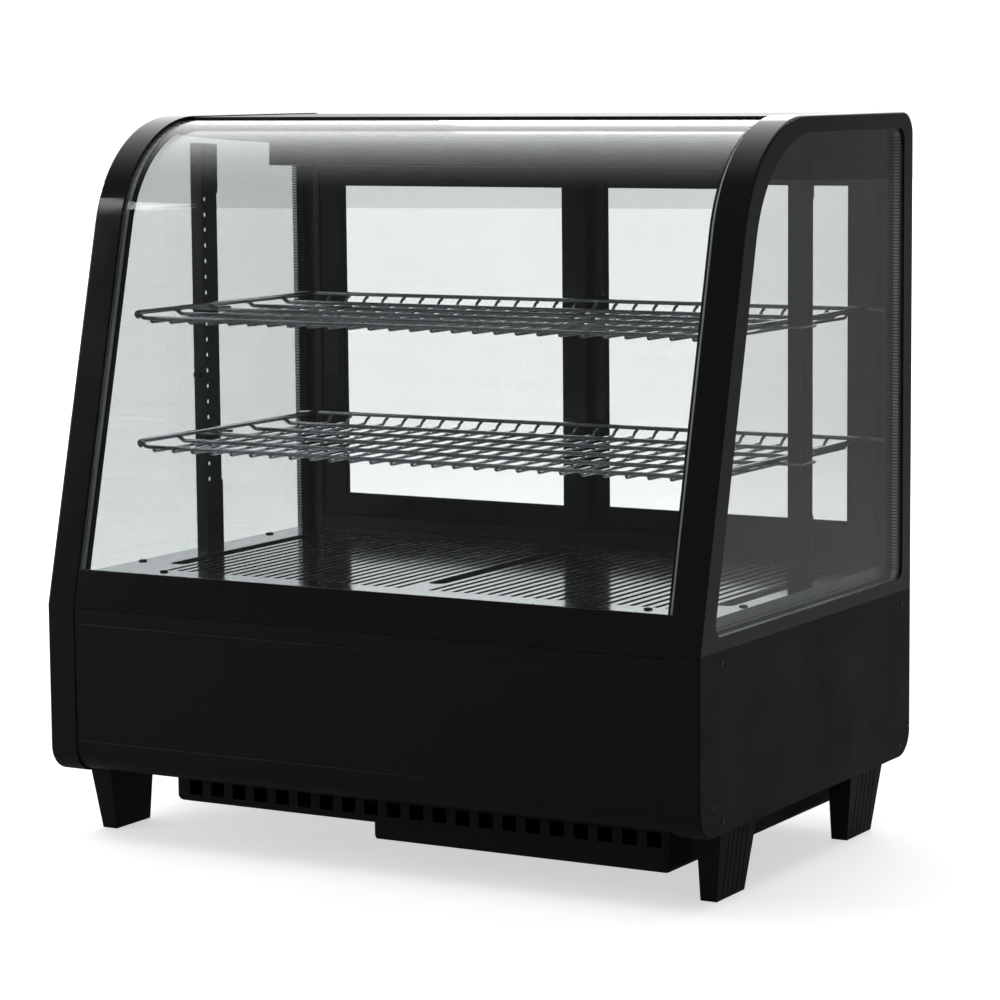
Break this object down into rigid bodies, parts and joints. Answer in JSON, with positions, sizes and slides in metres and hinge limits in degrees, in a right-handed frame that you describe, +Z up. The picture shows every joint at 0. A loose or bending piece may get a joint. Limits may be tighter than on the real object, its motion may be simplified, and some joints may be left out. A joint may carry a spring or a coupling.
{
  "type": "refrigerated bakery display case",
  "caption": "Countertop refrigerated display case with curved glazed front, glazed sides, sliding rear doors, wire shelves and a slotted deck over the cooling unit.",
  "frame": {"origin": "centre of the footprint at the soles of the feet", "axes": "+X to the right of someone who looks at the curved front, -Y out of the front, +Z up"},
  "size_m": [0.682, 0.45, 0.675],
  "materials": {
    "frame_gloss": "gloss black ABS",
    "panel_matte": "fine satin black ABS",
    "pan_plastic": "matt black polypropylene",
    "foot_plastic": "matt black nylon",
    "glass": "clear toughened glass",
    "spacer_aluminium": "bare perforated bar",
    "roof_paint": "black powder coat",
    "black_paint": "black powder coat",
    "steel": "bright stainless steel",
    "chrome_wire": "bright chromed wire",
    "tub_steel": "plain stainless steel",
    "foam": "rigid polyurethane foam",
    "coil_aluminium": "plain fins",
    "copper": "plain copper tube",
    "compressor_paint": "black enamel",
    "rubber": "black rubber",
    "motor_paint": "grey enamel",
    "fan_plastic": "black nylon",
    "diffuser": "opal polycarbonate",
    "control_plastic": "satin black ABS",
    "key_plastic": "grey silicone keys",
    "display_lens": "smoked red lens",
    "switch_plastic": "green rocker",
    "screw_black": "blackened steel"
  },
  "bodies": {
    "case": {"side_frame_left": "frame_gloss", "side_frame_right": "frame_gloss", "front_trim": "frame_gloss", "end_panel_left": "panel_matte", "end_panel_right": "panel_matte", "front_panel": "panel_matte", "side_glass_outer_left": "glass", "side_glass_inner_left": "glass", "side_glass_outer_right": "glass", "side_glass_inner_right": "glass", "front_glass_outer": "glass", "front_glass_inner": "glass", "glass_spacers": "spacer_aluminium", "roof_panel": "roof_paint", "lamp_housing": "black_paint", "rear_frame": "black_paint", "door_track_bottom": "black_paint", "door_track_top": "black_paint", "post_left": "black_paint", "post_right": "black_paint", "rear_grille": "black_paint", "control_panel": "control_plastic", "power_inlet": "control_plastic", "lamp_diffuser": "diffuser", "post_stops": "fan_plastic", "evaporator_fan_frame": "fan_plastic", "shelf_clips_upper": "chrome_wire", "shelf_clips_lower": "chrome_wire", "deck_plate": "steel", "cold_tub": "tub_steel", "condenser_fan_shroud": "tub_steel", "tub_foam": "foam", "evaporator": "coil_aluminium", "condenser": "coil_aluminium", "base_pan": "pan_plastic", "compressor": "compressor_paint", "compressor_mounts": "rubber", "condenser_fan_motor": "motor_paint", "refrigerant_pipes": "copper", "filter_drier": "copper", "display_window": "display_lens", "foot_front_left": "foot_plastic", "foot_front_right": "foot_plastic", "foot_rear_left": "foot_plastic", "foot_rear_right": "foot_plastic", "case_screws": "screw_black"},
    "door_left": {"door_left": "frame_gloss", "door_glass_left": "glass", "door_handle_left": "control_plastic"},
    "door_right": {"door_right": "frame_gloss", "door_glass_right": "glass", "door_handle_right": "control_plastic"},
    "shelf_upper": {"shelf_upper": "chrome_wire"},
    "shelf_lower": {"shelf_lower": "chrome_wire"},
    "evaporator_fan": {"evaporator_fan_rotor": "fan_plastic"},
    "condenser_fan": {"condenser_fan_rotor": "fan_plastic"},
    "key_set": {"key_set": "key_plastic"},
    "key_up": {"key_up": "key_plastic"},
    "key_down": {"key_down": "key_plastic"},
    "light_switch": {"light_switch": "switch_plastic"}
  },
  "joints": [
    {"name": "door_left_slide", "type": "slide", "parent": "case", "child": "door_left", "axis": [1, 0, 0], "range_m": [0, 0.285]},
    {"name": "door_right_slide", "type": "slide", "parent": "case", "child": "door_right", "axis": [-1, 0, 0], "range_m": [0, 0.285]},
    {"name": "shelf_upper_lift", "type": "slide", "parent": "case", "child": "shelf_upper", "axis": [0, 0, 1], "range_m": [0, 0.03]},
    {"name": "shelf_lower_lift", "type": "slide", "parent": "case", "child": "shelf_lower", "axis": [0, 0, 1], "range_m": [0, 0.03]},
    {"name": "evaporator_fan_spin", "type": "hinge", "parent": "case", "child": "evaporator_fan", "pos_m": [-0.15563, -0.12454, 0.21], "axis": [0, 0, 1], "continuous": true},
    {"name": "condenser_fan_spin", "type": "hinge", "parent": "case", "child": "condenser_fan", "pos_m": [0.15, 0.109, 0.104], "axis": [0, 1, 0], "continuous": true},
    {"name": "key_set_press", "type": "slide", "parent": "case", "child": "key_set", "axis": [0, -1, 0], "range_m": [0, 0.0008], "stiffness_N_per_m": 900, "springref_m": -0.0006},
    {"name": "key_up_press", "type": "slide", "parent": "case", "child": "key_up", "axis": [0, -1, 0], "range_m": [0, 0.0008], "stiffness_N_per_m": 900, "springref_m": -0.0006},
    {"name": "key_down_press", "type": "slide", "parent": "case", "child": "key_down", "axis": [0, -1, 0], "range_m": [0, 0.0008], "stiffness_N_per_m": 900, "springref_m": -0.0006},
    {"name": "light_switch_rock", "type": "hinge", "parent": "case", "child": "light_switch", "pos_m": [0.234, 0.2135, 0.207], "axis": [1, 0, 0], "range_deg": [0, 16]}
  ]
}
